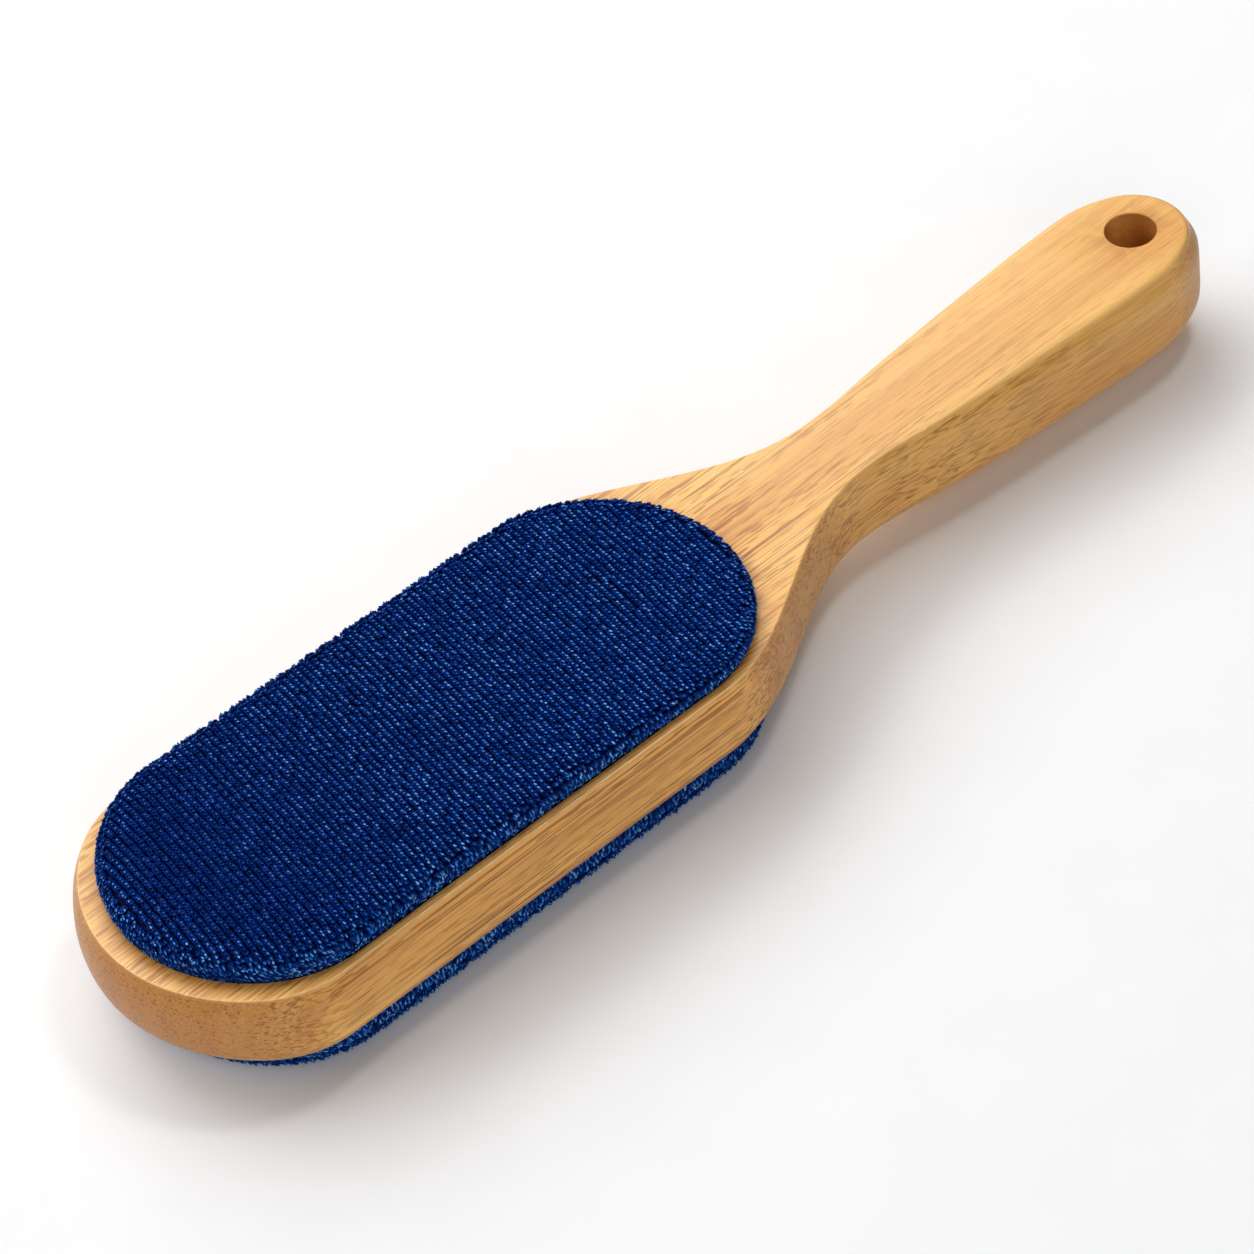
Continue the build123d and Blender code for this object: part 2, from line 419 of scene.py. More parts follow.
def stretched(tree, place, along, across, up=None):
    """Object coordinates scaled to cells per metre along X, Y and Z."""
    scale = (along, across, across if up is None else up)
    return node(tree, "ShaderNodeMapping", {"Vector": place, "Scale": scale}).outputs["Vector"]


def noise(tree, place, scale=1.0, detail=2.0, roughness=0.5, output="Fac"):
    """Soft noise over a place."""
    inputs = {"Vector": place, "Scale": scale, "Detail": detail, "Roughness": roughness}
    return node(tree, "ShaderNodeTexNoise", inputs).outputs[output]


def cells(tree, place, scale=1.0, output="Distance"):
    """Scattered cells over a place."""
    return node(tree, "ShaderNodeTexVoronoi", {"Vector": place, "Scale": scale}).outputs[output]


def kept_value(tree, name):
    """The value of that name which is kept on the vertices."""
    return node(tree, "ShaderNodeAttribute", attribute_name=name).outputs["Fac"]


# ------------------------------------------------------------------ finishes
def new_material(name, **surface):
    """Material with one Principled surface; gives it, its tree, the surface and object coordinates."""
    material = bpy.data.materials.new(name)
    material.use_nodes = True
    tree = material.node_tree
    principled = tree.nodes["Principled BSDF"]
    for socket, value in surface.items():
        principled.inputs[socket.replace("_", " ")].default_value = value
    place = node(tree, "ShaderNodeTexCoord").outputs["Object"]
    return material, tree, principled, place


def dress(tree, surface, colour, relief, strength, depth):
    """Gives a surface its colour and its relief."""
    tree.links.new(colour, surface.inputs["Base Color"])
    bump = node(tree, "ShaderNodeBump", {"Height": relief, "Strength": strength, "Distance": depth})
    tree.links.new(bump.outputs["Normal"], surface.inputs["Normal"])


def wavering_grain(tree, place):
    """Object coordinates shifted across the brush, so that the fibres aren't quite straight."""
    waver = noise(tree, stretched(tree, place, *WAVER_CELLS), output="Color")
    depth = {0: waver, 1: (0, WAVER_DEPTH, WAVER_DEPTH)}
    shift = node(tree, "ShaderNodeVectorMath", depth, operation="MULTIPLY").outputs[0]
    return node(tree, "ShaderNodeVectorMath", {0: place, 1: shift}, operation="ADD").outputs[0]


def wood_material():
    """Pale wood with its fibres along the brush: lines on the sides, flecks and end grain at the ends."""
    material, tree, surface, place = new_material("pale_wood", IOR=1.5, Specular_IOR_Level=0.42)
    grain = wavering_grain(tree, place)
    end_grain, wear_and_highlight = kept_value(tree, "end_grain"), kept_value(tree, "wear_and_highlight_edge")

    def figure_noise(spacing, detail, roughness=0.5):
        """Noise stretched along the grain."""
        return noise(tree, stretched(tree, grain, *spacing), detail=detail, roughness=roughness)

    # bands of growth under fine fibres
    tone = ramp(tree, figure_noise(BAND_CELLS, detail=2.0), BAND_TONES)
    tone = mix(tree, times(tree, end_grain, END_TONE_SHARE), tone, END_TONE)
    fibres = figure_noise(FIBRE_CELLS, detail=3.0, roughness=0.6)
    colour = mix(tree, FIBRE_SHARE, tone, ramp(tree, fibres, FIBRE_SHADES), "MULTIPLY")

    # brown lines and pores, crowded in places and fading towards the end of the handle
    along = node(tree, "ShaderNodeSeparateXYZ", {"Vector": place}).outputs[0]
    toward_end = maths(tree, "MULTIPLY_ADD", along, 1 / BRUSH_LENGTH, 0.5)
    crowd = ramp(tree, figure_noise(CROWD_CELLS, detail=1.0), CROWDING)
    figure = times(tree, ramp(tree, toward_end, FIGURE_FADE), crowd)
    beside = maths(tree, "SUBTRACT", figure_noise(LINE_CELLS, detail=1.0), 0.5)
    lines = times(tree, ramp(tree, maths(tree, "ABSOLUTE", beside), LINE_WIDTH), figure)
    lines = times(tree, lines, maths(tree, "SUBTRACT", 1.0, end_grain))
    colour = mix(tree, lines, colour, LINE_BROWN)
    pores = cells(tree, stretched(tree, grain, *PORE_CELLS))
    flecks = times(tree, ramp(tree, pores, PORE_WIDTH), figure)
    colour = mix(tree, times(tree, flecks, PORE_SHARE), colour, PORE_BROWN)

    # painted shade darkening the handle towards its end, the edges golden with wear and a painted highlight,
    # and the end grain browner
    colour = mix(tree, 1.0, colour, ramp(tree, toward_end, HANDLE_PAINTED_SHADE), "MULTIPLY")
    colour = mix(tree, times(tree, wear_and_highlight, WORN_HIGHLIGHT_SHARE), colour, WORN_HIGHLIGHT_GOLD)
    colour = mix(tree, end_grain, colour, END_SHADE, "MULTIPLY")

    rough = maths(tree, "MULTIPLY_ADD", fibres, FIBRE_ROUGHNESS, WOOD_ROUGHNESS)
    tree.links.new(maths(tree, "MULTIPLY_ADD", wear_and_highlight, WORN_POLISH, rough), surface.inputs["Roughness"])
    relief = maths(tree, "SUBTRACT", times(tree, fibres, FIBRE_RELIEF), flecks)
    dress(tree, surface, colour, relief, strength=0.35, depth=0.08 * MM)
    return material


def ground_material():
    """Dark woven ground of the pile fabric."""
    material, tree, surface, place = new_material("pile_ground", Roughness=0.85, Specular_IOR_Level=0.1)
    weave = cells(tree, stretched(tree, place, *WEAVE_CELLS))
    dress(tree, surface, ramp(tree, weave, WEAVE_BLUES), weave, strength=0.6, depth=0.2 * MM)
    return material


def pile_material():
    """Royal-blue pile: painted shade darkening it to navy at the roots, a dull dark blue rib, and one silky
    strand in every tuft painted pale as a highlight.
    """
    material, tree, surface, place = new_material(
        "blue_pile", Sheen_Weight=0.1, Sheen_Roughness=0.35, Sheen_Tint=(0.04, 0.26, 1.0, 1),
        Specular_IOR_Level=0.15, Specular_Tint=(0.30, 0.62, 1.0, 1),
    )
    patches = cells(tree, stretched(tree, place, *PILE_CELLS), output="Color")
    grey = node(tree, "ShaderNodeSeparateColor", {"Color": patches}).outputs[1]
    dull, silky = ramp(tree, grey, DULL_BLUES), ramp(tree, grey, SILKY_HIGHLIGHT_BLUES)
    # the silky strands painted pale as a highlight, and every strand darkened by painted shade towards its
    # root
    silk, glint = kept_value(tree, "silky_painted_highlight"), kept_value(tree, "tuft_painted_glint")
    painted_glint = maths(tree, "MULTIPLY", silk, glint, clamp=True)
    painted_root_shade = ramp(tree, kept_value(tree, "strand_height"), ROOT_PAINTED_SHADE)
    colour = mix(tree, 1.0, mix(tree, painted_glint, dull, silky), painted_root_shade, "MULTIPLY")
    rough = maths(tree, "MULTIPLY_ADD", painted_glint, SILKY_POLISH, PILE_ROUGHNESS)
    tree.links.new(rough, surface.inputs["Roughness"])
    dress(tree, surface, colour, noise(tree, place, scale=9000.0), strength=0.3, depth=0.05 * MM)
    return material


def foam_material():
    """Pale open-cell foam."""
    material, tree, surface, place = new_material("pad_foam", Roughness=0.9)
    bubbles = cells(tree, place, scale=1400.0)
    dress(tree, surface, ramp(tree, bubbles, FOAM_CREAMS), bubbles, strength=0.7, depth=0.3 * MM)
    return material


def board_material():
    """Brown pressed board, flecked with fibres."""
    material, tree, surface, place = new_material("backing_board", Roughness=0.8)
    fibres = noise(tree, place, scale=1800.0, detail=4.0, roughness=0.7)
    dress(tree, surface, ramp(tree, fibres, BOARD_BROWNS), fibres, strength=0.4, depth=0.1 * MM)
    return material


def adhesive_material():
    """Amber adhesive sheet, slightly rippled."""
    material, tree, surface, place = new_material("adhesive_sheet")
    ripple = noise(tree, place, scale=350.0)
    rough = maths(tree, "MULTIPLY_ADD", ripple, RIPPLE_ROUGHNESS, ADHESIVE_ROUGHNESS)
    tree.links.new(rough, surface.inputs["Roughness"])
    dress(tree, surface, ramp(tree, ripple, ADHESIVE_AMBERS), ripple, strength=0.3, depth=0.2 * MM)
    return material


def dress_inner_layers():
    """Gives the carried-over layers inside both pads their finishes."""
    finishes = {
        "foam_pad": foam_material(), "backing_board": board_material(), "adhesive_sheet": adhesive_material(),
    }
    for side in PADS:
        for layer, finish in finishes.items():
            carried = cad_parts[f"{side}_{layer}"]
            for slot in carried.material_slots:
                slot.link = "OBJECT"
                slot.material = finish


def floor_material():
    """Matt pale paper."""
    material, tree, surface, place = new_material("pale_floor", Roughness=0.9)
    tooth = noise(tree, place, scale=60.0, detail=3.0)
    tree.links.new(ramp(tree, tooth, PAPER_WHITES), surface.inputs["Base Color"])
    return material


# ------------------------------------------------------------------ wooden body
def eased_edge(inset, drop, face_ease, flank_ease):
    """(inset, drop) points of a facet between face and flank, with both its corners eased."""
    facet = np.array([-inset, drop]) / math.hypot(inset, drop)
    upper, lower = np.array([inset, 0.0]), np.array([0.0, drop])
    corners = np.array([
        upper + (face_ease, 0), upper, upper + face_ease * facet,
        lower - flank_ease * facet, lower, lower + (0, flank_ease),
    ])
    middles = (corners[1:] + corners[:-1]) / 2
    middles[0], middles[-1] = corners[0], corners[-1]
    points = []
    for k in range(1, len(corners) - 1):
        start, corner, end = middles[k - 1], corners[k], middles[k]
        for t in np.linspace(0, 1, EDGE_RINGS // 4, endpoint=False):
            points.append(start * (1 - t) ** 2 + 2 * corner * t * (1 - t) + end * t ** 2)
    return np.array(points[:-1] + [corners[-1]])


def edge_profile(head_edge, softness):
    """Insets and drops of the edge at every point of the outline, from crisp (0) to soft (1)."""
    crisp, soft = eased_edge(*head_edge), eased_edge(*SOFT_EDGE)
    mixed = softness[:, None]
    return crisp[:, 0] * (1 - mixed) + soft[:, 0] * mixed, crisp[:, 1] * (1 - mixed) + soft[:, 1] * mixed


def body_sides(mesh):
    """Upper edge, flank and lower edge of the body; gives the rings where the two faces begin."""
    # the first rings of each edge are painted pale gold: partly wear, partly a painted highlight along the
    # ridge
    wear_and_highlight = mesh.verts.layers.float.new("wear_and_highlight_edge")
    loop, inward = body_loop(BODY_POINTS)
    softness = smooth(np.clip((loop[:, 0] - NOSE_X - SOFT_FROM) / SOFT_OVER, 0, 1))
    insets, drops = edge_profile(HEAD_EDGE, softness)
    low_insets, low_drops = edge_profile(LOWER_EDGE, softness)
    swell = NOSE_BULGE * smooth(np.clip(1 - (loop[:, 0] - NOSE_X) / BULGE_TO, 0, 1))

    def outline_ring(inset, drop, level, way):
        """The outline drawn in by inset and moved by drop from a face, fuller at the nose."""
        share = drop / THICKNESS
        points = loop + inward * (inset - swell * np.sin(math.pi * share) ** BULGE_POWER)[:, None]
        return [mesh.verts.new((x, y, level - way * d)) for (x, y), d in zip(points, drop)]

    upper = [outline_ring(insets[:, k], drops[:, k], FACE_TOP, 1) for k in range(EDGE_RINGS)]
    lower = [outline_ring(low_insets[:, k], low_drops[:, k], FACE_BOTTOM, -1) for k in range(EDGE_RINGS)]
    for rings in (upper, lower):
        for edge_ring, wear_and_highlight_share in zip(rings, EDGE_WEAR_AND_HIGHLIGHT):
            for vertex in edge_ring:
                vertex[wear_and_highlight] = wear_and_highlight_share
    flank = []
    for share in np.linspace(0, 1, FLANK_RINGS + 2)[1:-1]:
        deep = drops[:, -1] * (1 - share) + (THICKNESS - low_drops[:, -1]) * share
        flank.append(outline_ring(np.zeros(len(loop)), deep, FACE_TOP, 1))
    skin(mesh, upper + flank + lower[::-1])
    return upper[0], lower[0]


def hanging_hole(mesh):
    """Bore of the hanging hole, with its edges broken; gives its upper and lower mouths."""
    turn = np.linspace(0, math.tau, HOLE_POINTS, endpoint=False)
    circle = np.c_[np.cos(turn), -np.sin(turn)]
    centre = np.array([END_X - HOLE_TO_END, 0.0])
    hole, mouth = centre + HOLE_RADIUS * circle, centre + (HOLE_RADIUS + HOLE_EASE) * circle
    bore = [
        ring(mesh, mouth, FACE_TOP), ring(mesh, hole, FACE_TOP - HOLE_EASE),
        ring(mesh, hole, FACE_BOTTOM + HOLE_EASE), ring(mesh, mouth, FACE_BOTTOM),
    ]
    skin(mesh, bore)
    return bore[0], bore[-1]


def recessed_face(mesh, edge, mouth, face_z, way):
    """One face of the wood, from its edge to the mouth of the hole and the recess of its pad."""
    recess, _ = pad_loop(WAIST_INSET - RECESS_CLEARANCE, PAD_POINTS)
    rim = ring(mesh, recess, face_z)
    floor = ring(mesh, recess, face_z - way * RECESS_DEPTH)
    skin(mesh, [rim, floor])
    fill(mesh, edge, rim, mouth)
    fill(mesh, floor)


def swell_handle(mesh):
    """Makes the body gently thicker from the shoulders to the end of the handle."""
    start = NOSE_X + STATION_GAPS[0]
    middle = (FACE_TOP + FACE_BOTTOM) / 2
    for x in np.arange(start, END_X, SLICE_STEP):
        mesh.normal_update()
        flat = [face for face in mesh.faces if abs(face.normal.z) > FLAT_FROM]
        edges = {edge for face in flat for edge in face.edges}
        corners = {corner for face in flat for corner in face.verts}
        bmesh.ops.bisect_plane(
            mesh, geom=flat + list(edges) + list(corners), plane_co=(x, 0, 0), plane_no=(1, 0, 0)
        )
    for vertex in mesh.verts:
        share = smooth(min(max((vertex.co.x - start) / (END_X - start), 0), 1))
        vertex.co.z = middle + (vertex.co.z - middle) * (1 + 2 * HANDLE_SWELL * share / THICKNESS)


def mark_end_grain(data):
    """Keeps on each vertex of the wood how far its surface cuts across the fibres."""
    facing = np.empty(3 * len(data.vertices))
    data.vertices.foreach_get("normal", facing)
    share = np.clip((np.abs(facing[::3]) - END_GRAIN_FROM) / (1 - END_GRAIN_FROM), 0, 1)
    keep_values(data, "end_grain", share ** END_GRAIN_POWER)


def wooden_body():
    """Head, neck and handle in one closed piece, with the hanging hole and a recess in each face."""
    mesh = bmesh.new()
    upper_edge, lower_edge = body_sides(mesh)
    upper_mouth, lower_mouth = hanging_hole(mesh)
    recessed_face(mesh, upper_edge, upper_mouth, FACE_TOP, 1)
    recessed_face(mesh, lower_edge, lower_mouth, FACE_BOTTOM, -1)
    swell_handle(mesh)
    body = finished("brush_body", mesh, wood_material())
    mark_end_grain(body.data)
    return body


# ------------------------------------------------------------------ ground cloth
def side_profile():
    """(inset, height) of the ground cloth up the side of a pad, before it meets the crown."""
    turn = np.linspace(0, math.pi / 2, PROFILE_STEPS)
    run = CROWN_RUN * (1 - np.cos(turn) ** (2 / CROWN_FULLNESS))
    rise = (PAD_HEIGHT - GROUND_DEPTH - BULGE_HEIGHT) * np.sin(turn) ** (2 / CROWN_FULLNESS)
    return np.r_[WAIST_INSET, run] + GROUND_DEPTH, np.r_[0, BULGE_HEIGHT + rise]


def crown_level(side, xs):
    """Height of the ground cloth's crown: the upper one falls to the neck, the lower is pressed level."""
    if side == "lower":
        return np.full(len(xs), PRESSED_HEIGHT - GROUND_DEPTH)
    return PAD_HEIGHT - GROUND_DEPTH - CROWN_FALL * (xs - NOSE_X - NOSE_RIM) / PAD_LENGTH


def under_crown(height, crown):
    """Height of the side, rounded over where it meets the crown."""
    closeness = np.maximum(0, 1 - np.abs(height - crown) / CROWN_EASE)
    return np.minimum(height, crown) - CROWN_EASE * closeness ** 2 / 4


def pad_ground(name, side, face_z, way, material):
    """Closed ground cloth of one pad, from the floor of its recess to its crown."""
    mesh = bmesh.new()
    insets, heights = side_profile()
    base, inward = pad_loop(0, PAD_POINTS)
    rings = []
    for inset, height in zip(np.r_[insets[0], insets], np.r_[-RECESS_DEPTH, heights]):
        loop = base + inward * inset
        rings.append(ring(mesh, loop, face_z + way * under_crown(height, crown_level(side, loop[:, 0]))))
    skin(mesh, rings)
    fill(mesh, rings[0])
    fill(mesh, rings[-1])
    piece = finished(name, mesh, material, CLOTH_CRISP_FROM)
    return piece


# ------------------------------------------------------------------ places of the tufts
def walk_sides(crown):
    """Insets and heights over the side of a pad, how far each is walked, and what wrapping takes up."""
    insets, heights = side_profile()
    heights = under_crown(heights, crown)
    walked = np.r_[0, np.cumsum(np.hypot(np.diff(insets), np.diff(heights)))]
    return insets, heights, walked, walked[-1] - insets[-1]


def border_walk(crown):
    """How far in from the hem the border reaches, walked over the side of a pad."""
    insets, _, walked, _ = walk_sides(crown)
    return np.interp(BORDER_INSET, insets, walked)


class FlatCloth:
    """The cloth of one pad laid flat: its hem, and what is spare and how deep the border is along it."""

    def __init__(self, side):
        self.side = side
        self.base, self.inward = pad_loop(0, HEM_POINTS)
        crowns = crown_level(side, self.base[:, 0])
        taken_up = walk_sides(crowns.max())[3]
        self.hem = self.base - self.inward * taken_up
        self.steps = np.linspace(crowns.min(), crowns.max(), CROWN_STEPS)
        self.spare = taken_up - np.interp(crowns, self.steps, [walk_sides(step)[3] for step in self.steps])
        self.border = np.interp(crowns, self.steps, [border_walk(step) for step in self.steps])

    def nearest_hem(self, flat):
        """Which point of the hem is nearest to each flat place."""
        nearest = np.empty(len(flat), int)
        for start in range(0, len(flat), BATCH):
            batch = slice(start, start + BATCH)
            nearest[batch] = ((flat[batch][:, None] - self.hem[None]) ** 2).sum(2).argmin(1)
        return nearest


def row_tufts(cloth, chance):
    """Tufts of the ribs: their flat places, the nearest points of the hem, and how far in they are."""
    low, high = cloth.hem.min(0), cloth.hem.max(0)
    middle, reach = (low + high) / 2, (high - low) / 2
    across = np.array([math.cos(ROW_TURN), math.sin(ROW_TURN)])
    along = np.array([-math.sin(ROW_TURN), math.cos(ROW_TURN)])
    half_rows = int((reach[0] + reach[1] * abs(across[1])) / ROW_PITCH) + 1
    half_tufts = int((reach[1] + reach[0] * abs(across[1])) / TUFT_PITCH) + 1
    us = np.arange(-half_rows, half_rows + 1) * ROW_PITCH
    vs = np.arange(-half_tufts, half_tufts + 1) * TUFT_PITCH
    grid_u, grid_v = np.meshgrid(us, vs, indexing="ij")
    stagger = chance.uniform(0, TUFT_PITCH, len(us))[:, None]
    u = (grid_u + chance.normal(0, ROW_STRAY, grid_u.shape) * ROW_PITCH).ravel()
    v = (grid_v + stagger + chance.normal(0, TUFT_STRAY, grid_u.shape) * TUFT_PITCH).ravel()
    flat = middle + u[:, None] * across + v[:, None] * along
    flat = flat[(np.abs(flat - middle) < reach).all(1)]
    nearest = cloth.nearest_hem(flat)
    from_hem = ((flat - cloth.hem[nearest]) * cloth.inward[nearest]).sum(1)
    walk = from_hem - cloth.spare[nearest]
    kept = walk > cloth.border[nearest]
    return flat[kept], nearest[kept], walk[kept]


def border_tufts(cloth, chance):
    """The same for the tufts of the border, row by row from the hem."""
    points = len(cloth.hem)
    count = int(np.linalg.norm(np.diff(cloth.hem, axis=0), axis=1).sum() / BORDER_PITCH)
    rows = []
    for row in range(int(cloth.border.max() / BORDER_STEP) + 1):
        nearest = (np.arange(count) + row / 2 + chance.normal(0, BORDER_STRAY, count)) * points / count
        nearest = nearest.astype(int) % points
        walk = BORDER_STEP * (row + BORDER_START) + chance.normal(0, BORDER_WANDER, count)
        kept = walk < cloth.border[nearest]
        nearest, walk = nearest[kept], walk[kept]
        flat = cloth.hem[nearest] + cloth.inward[nearest] * (walk + cloth.spare[nearest])[:, None]
        rows.append((flat, nearest, walk))
    return [np.concatenate(parts) for parts in zip(*rows)]


def wrapped(cloth, flat, nearest, walk):
    """Where the flat places come to lie once the cloth wraps the pad, and the surface normals there."""
    places, normals = np.zeros((len(flat), 3)), np.zeros((len(flat), 3))
    tilt = CROWN_FALL / PAD_LENGTH if cloth.side == "upper" else 0.0
    step_of = np.abs(crown_level(cloth.side, flat[:, 0])[:, None] - cloth.steps[None]).argmin(1)
    for k in np.unique(step_of):
        here = np.flatnonzero(step_of == k)
        insets, heights, walked, _ = walk_sides(cloth.steps[k])
        inset, height = np.interp(walk[here], walked, insets), np.interp(walk[here], walked, heights)
        ahead, behind = walk[here] + NORMAL_STEP, walk[here] - NORMAL_STEP
        slope_in = np.interp(ahead, walked, insets) - np.interp(behind, walked, insets)
        slope_up = np.interp(ahead, walked, heights) - np.interp(behind, walked, heights)
        n = cloth.inward[nearest[here]]
        on_side = (walk[here] < walked[-1])[:, None]
        places[here, :2] = np.where(on_side, cloth.base[nearest[here]] + n * inset[:, None], flat[here])
        normals[here] = np.where(on_side, np.c_[-n * slope_up[:, None], slope_in], (tilt, 0, 1))
        places[here, 2] = height
    inside = walk > cloth.border[nearest]
    places[inside, 2] = np.minimum(places[inside, 2], crown_level(cloth.side, places[inside, 0]))
    normals /= np.linalg.norm(normals, axis=1, keepdims=True)
    return places, normals


def tuft_painted_glints(from_nose, from_border, chance):
    """How pale the silky strand of each tuft is painted: a painted highlight for the light it would catch."""

    def varied(least, greatest, power):
        """A value for each tuft."""
        return chance.uniform(least, greatest, len(from_nose)) ** power

    lively = np.clip(from_nose / CALM_OVER - CALM_START, 0, 1)
    painted_glint = varied(*ROW_PAINTED_GLINT) * (CALM_PAINTED_GLINT + (1 - CALM_PAINTED_GLINT) * lively)
    near_edge = np.clip(1 - from_border / EDGE_GLINT, 0, 1)
    return painted_glint * (1 - near_edge) + EDGE_GAIN * varied(*EDGE_PAINTED_GLINT) * near_edge


def tuft_places(side):
    """Tufts of a pad: places on its ground cloth, surface normals, which are in its border, and painted
    glints.
    """
    cloth = FlatCloth(side)
    chance = np.random.default_rng(PLACE_SEED)
    in_rows, in_border = row_tufts(cloth, chance), border_tufts(cloth, chance)
    flat, nearest, walk = (np.concatenate(parts) for parts in zip(in_rows, in_border))
    border = np.arange(len(flat)) >= len(in_rows[0])
    places, normals = wrapped(cloth, flat, nearest, walk)
    painted_glint = tuft_painted_glints(flat[:, 0] - NOSE_X, walk - cloth.border[nearest], chance)
    return places, normals, border, painted_glint


# ------------------------------------------------------------------ tufts
def strand(mesh, foot, silky, width, chance):
    """One leaning strand with a pointed tip; gives how high up it each of its vertices is."""
    lean = PILE_LEAN * (SILKY_LEAN if silky else 1.0)
    sway = Vector((lean, 0, 0)) + Vector(chance.normal(0, STRAND_SWAY, 3))
    height = PILE_HEIGHT * chance.uniform(*STRAND_HEIGHTS) * (SILKY_HEIGHT if silky else 1.0)
    thick = STRAND_RADIUS * width
    turn = chance.uniform(0, 2)
    corners = len(STRAND_CORNERS)
    rings, shares = [], []
    for share, girth, hang in SILKY_RINGS if silky else DULL_RINGS:
        middle = foot + sway * hang
        middle.z = height * share
        rings.append([
            mesh.verts.new(middle + Vector((math.cos(turn + a), math.sin(turn + a), 0)) * thick * girth)
            for a in STRAND_CORNERS
        ])
        shares += [share] * corners
    skin(mesh, rings[::-1])
    tip = foot + sway
    tip.z = height
    crest = mesh.verts.new(tip)
    for k in range(corners):
        mesh.faces.new((rings[-1][k], rings[-1][(k + 1) % corners], crest))
    return shares + [1.0]


def tuft_shape(name, seed, columns, silk_width, material):
    """A short length of rib: two lines of dull strands and a silky one standing up between them."""
    chance = np.random.default_rng(seed)
    mesh = bmesh.new()
    feet = [(x * STRAND_GAP, y * RIB_WIDTH / 2, 0.0) for x in columns for y in (-1, 1)] + [(0.0, 0.0, 1.0)]
    heights, painted_glint = [], []
    for along, across, silky in feet:
        shares = strand(mesh, Vector((along, across, 0)), silky, silk_width if silky else 1.0, chance)
        heights += shares
        painted_glint += [silky] * len(shares)
    data = smooth_mesh(name, mesh, material)
    # how high up its strand each vertex is, for the painted shade at the roots
    keep_values(data, "strand_height", heights)
    # which vertices are the silky strand's, painted pale as a highlight
    keep_values(data, "silky_painted_highlight", painted_glint)
    return bpy.data.objects.new(name, data)


def tuft_collection(material):
    """Every kind of tuft: those of the ribs, then those of the border."""
    collection = bpy.data.collections.new("tufts")
    for kind in range(2 * TUFT_KINDS):
        build = BORDER_TUFT if kind >= TUFT_KINDS else ROW_TUFT
        collection.objects.link(tuft_shape(f"tuft_{kind}", kind + 1, *build, material))
    return collection


# ------------------------------------------------------------------ pile
def pile_tree(material):
    """Geometry Nodes: a tuft on every point, turned to its surface, with its size, yaw and tilt varied."""
    tree = bpy.data.node_groups.new("pile_rows", "GeometryNodeTree")
    sockets = tree.interface
    sockets.new_socket("Points", in_out="INPUT", socket_type="NodeSocketGeometry")
    sockets.new_socket("Tufts", in_out="INPUT", socket_type="NodeSocketCollection")
    for name, value in TUFT_VARIETY.items():
        socket = sockets.new_socket(name, in_out="INPUT", socket_type="NodeSocketFloat")
        socket.default_value = value
    sockets.new_socket("Seed", in_out="INPUT", socket_type="NodeSocketInt")
    sockets.new_socket("Pile", in_out="OUTPUT", socket_type="NodeSocketGeometry")
    given = node(tree, "NodeGroupInput").outputs
    yaw, tilt = given["Yaw"], given["Tilt"]

    def stored(name, kind="FLOAT_VECTOR"):
        """Value that each point keeps."""
        return node(tree, "GeometryNodeInputNamedAttribute", {"Name": name}, data_type=kind).outputs[0]

    def varied(kind, low, high, shift):
        """Random value for each point between low and high, from the seed plus shift."""
        least, output = {"FLOAT_VECTOR": (0, 0), "FLOAT": (2, 1), "INT": (4, 2)}[kind]    # its sockets
        inputs = {least: low, least + 1: high, "Seed": maths(tree, "ADD", given["Seed"], shift)}
        return node(tree, "FunctionNodeRandomValue", inputs, data_type=kind).outputs[output]

    facing = node(
        tree, "FunctionNodeAxesToRotation",
        {"Primary Axis": stored("surface_normal"), "Secondary Axis": stored("pile_way")},
        primary_axis="Z", secondary_axis="X",
    ).outputs[0]
    minus_yaw, minus_tilt = times(tree, yaw, -1.0), times(tree, tilt, -1.0)
    low = node(tree, "ShaderNodeCombineXYZ", {0: minus_tilt, 1: minus_tilt, 2: minus_yaw}).outputs[0]
    high = node(tree, "ShaderNodeCombineXYZ", {0: tilt, 1: tilt, 2: yaw}).outputs[0]
    turn = {0: varied("FLOAT_VECTOR", low, high, 1.0)}
    turned = {0: facing, 1: node(tree, "FunctionNodeEulerToRotation", turn).outputs[0]}
    facing = node(tree, "FunctionNodeRotateRotation", turned, rotation_space="LOCAL").outputs[0]
    scale = varied("FLOAT", given["Least Size"], given["Greatest Size"], 2.0)
    scaled = {0: stored("tuft_scale"), "Scale": scale}
    size = node(tree, "ShaderNodeVectorMath", scaled, operation="SCALE").outputs[0]
    kinds = {"Collection": given["Tufts"], "Separate Children": True}
    chosen = varied("INT", 0, TUFT_KINDS - 1, 3.0)
    placed = {
        "Points": given["Points"], "Pick Instance": True, "Rotation": facing, "Scale": size,
        "Instance": node(tree, "GeometryNodeCollectionInfo", kinds).outputs[0],
        "Instance Index": maths(tree, "MULTIPLY_ADD", stored("in_border", "FLOAT"), TUFT_KINDS, chosen),
    }
    pile = node(tree, "GeometryNodeInstanceOnPoints", placed).outputs[0]
    pile = node(tree, "GeometryNodeRealizeInstances", {0: pile}).outputs[0]
    pile = node(tree, "GeometryNodeSetMaterial", {0: pile, "Material": material}).outputs[0]
    node(tree, "NodeGroupOutput", {0: pile})
    return tree


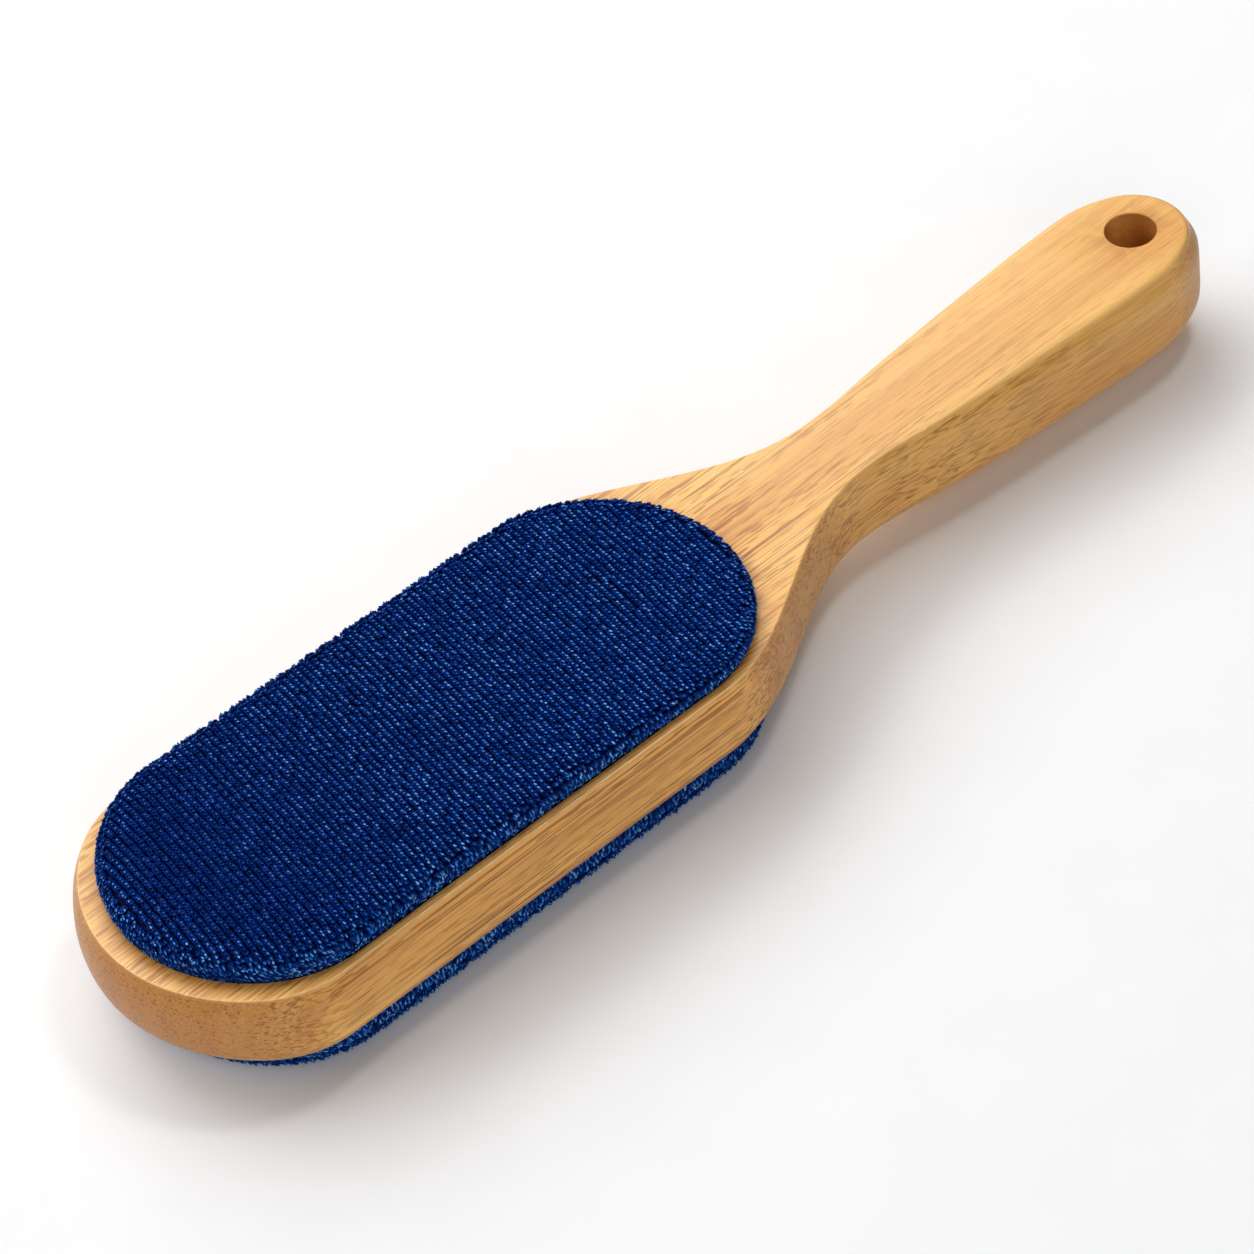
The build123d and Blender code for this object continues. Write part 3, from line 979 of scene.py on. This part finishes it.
def plant(name, tree, tufts, places, normals, scales, border, painted_glint, seed):
    """Piece of pile with a tuft on each place, as a plain mesh."""
    data = bpy.data.meshes.new(name)
    data.from_pydata(places.tolist(), [], [])
    way = np.array(PILE_WAY) - normals * (normals @ PILE_WAY)[:, None]
    stray = np.random.default_rng(seed).normal(0, BORDER_LEAN, len(way)) * border
    way += np.cross(normals, way) * stray[:, None]
    for kept, values in (("surface_normal", normals), ("pile_way", way), ("tuft_scale", scales)):
        layer = data.attributes.new(kept, "FLOAT_VECTOR", "POINT")
        layer.data.foreach_set("vector", np.ascontiguousarray(values, np.float32).ravel())
    # how strongly the silky strand of each tuft is painted pale as a highlight
    keep_values(data, "tuft_painted_glint", painted_glint)
    keep_values(data, "in_border", border.astype(np.float32))
    points = shown(name + "_points", data)
    modifier = points.modifiers.new("pile", "NODES")
    modifier.node_group = tree
    keys = {item.name: item.identifier for item in tree.interface.items_tree}
    modifier[keys["Tufts"]] = tufts
    modifier[keys["Seed"]] = seed
    evaluated = points.evaluated_get(bpy.context.evaluated_depsgraph_get())
    pile = bpy.data.meshes.new_from_object(evaluated)
    bpy.data.objects.remove(points)
    piece = shown(name, pile)
    for kept in ("surface_normal", "pile_way", "tuft_scale", "in_border"):
        if kept in pile.attributes:
            pile.attributes.remove(pile.attributes[kept])
    return piece


def pad(side, tree, tufts, ground):
    """Ground cloth and pile of one pad; side is upper or lower."""
    way, face_z, first_seed = PADS[side]
    cloth = pad_ground(f"{side}_pad_ground", side, face_z, way, ground)
    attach(cloth, "root")
    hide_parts(f"{side}_pile_cover")
    places, normals, border, painted_glint = tuft_places(side)
    scales = np.repeat(np.where(border, BORDER_SIZE, 1.0)[:, None], 3, axis=1)
    if side == "lower":
        room = (FACE_BOTTOM - places[:, 2]) / (PILE_HEIGHT * PRESS_ROOM)
        scales[:, 2] *= np.clip(room, LEAST_PRESSED, 1) ** np.clip(normals[:, 2], 0, 1)
    places[:, 2] = face_z + way * places[:, 2]
    normals[:, 2] *= way
    bands = np.digitize(places[:, 0], np.quantile(places[:, 0], np.arange(1, PILE_BANDS) / PILE_BANDS))
    for band in range(PILE_BANDS):
        chosen = bands == band
        piece = plant(
            f"{side}_pile_{band + 1}", tree, tufts, places[chosen], normals[chosen], scales[chosen],
            border[chosen], painted_glint[chosen], first_seed + band,
        )
        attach(piece, "root")


# ------------------------------------------------------------------ stage
def camera():
    """Camera that looks down on the brush from beside its nose."""
    azimuth, elevation, roll = (math.radians(a) for a in (CAMERA_AZIMUTH, CAMERA_ELEVATION, CAMERA_ROLL))
    level = math.cos(elevation)
    back = Vector((math.sin(azimuth) * level, -math.cos(azimuth) * level, math.sin(elevation)))
    right = Vector((math.cos(azimuth), math.sin(azimuth), 0))
    up = back.cross(right)
    right, up = right * math.cos(roll) + up * math.sin(roll), up * math.cos(roll) - right * math.sin(roll)
    data = bpy.data.cameras.new("camera")
    data.sensor_width = FRAME_WIDTH_MM
    data.lens = FOCAL_LENGTH_MM
    data.clip_end = CAMERA_REACH
    seen = shown("camera", data)
    axes = Matrix((right, up, back)).transposed().to_4x4()
    seen.matrix_world = Matrix.Translation(CAMERA_FOCUS + back * CAMERA_DISTANCE) @ axes
    bpy.context.scene.camera = seen


def softbox(name, place, aim, size, power, colour):
    """Soft rectangular light."""
    data = bpy.data.lights.new(name, "AREA")
    data.shape = "RECTANGLE"
    data.size, data.size_y = size
    data.energy = power
    data.color = colour
    lamp = shown(name, data)
    lamp.location = place
    lamp.rotation_euler = (Vector(aim) - Vector(place)).to_track_quat("-Z", "Y").to_euler()


def stage():
    """Pale floor, faint light from the room, and the softboxes."""
    mesh = bmesh.new()
    bmesh.ops.create_grid(mesh, x_segments=1, y_segments=1, size=FLOOR_SIZE)
    floor = finished("floor", mesh, floor_material())
    world = bpy.data.worlds.new("studio")
    world.use_nodes = True
    background = world.node_tree.nodes["Background"]
    background.inputs["Color"].default_value = ROOM_COLOUR
    background.inputs["Strength"].default_value = ROOM_STRENGTH
    bpy.context.scene.world = world
    for light in SOFTBOXES:
        softbox(*light)


brush_wood = wooden_body()
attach(brush_wood, "root")
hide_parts("wooden_body")

blue_pile = pile_material()
tufts = tuft_collection(blue_pile)
pile_rows = pile_tree(blue_pile)
pile_ground = ground_material()
for side in PADS:
    pad(side, pile_rows, tufts, pile_ground)

dress_inner_layers()
camera()
stage()
bpy.context.scene.view_settings.view_transform = "Standard"
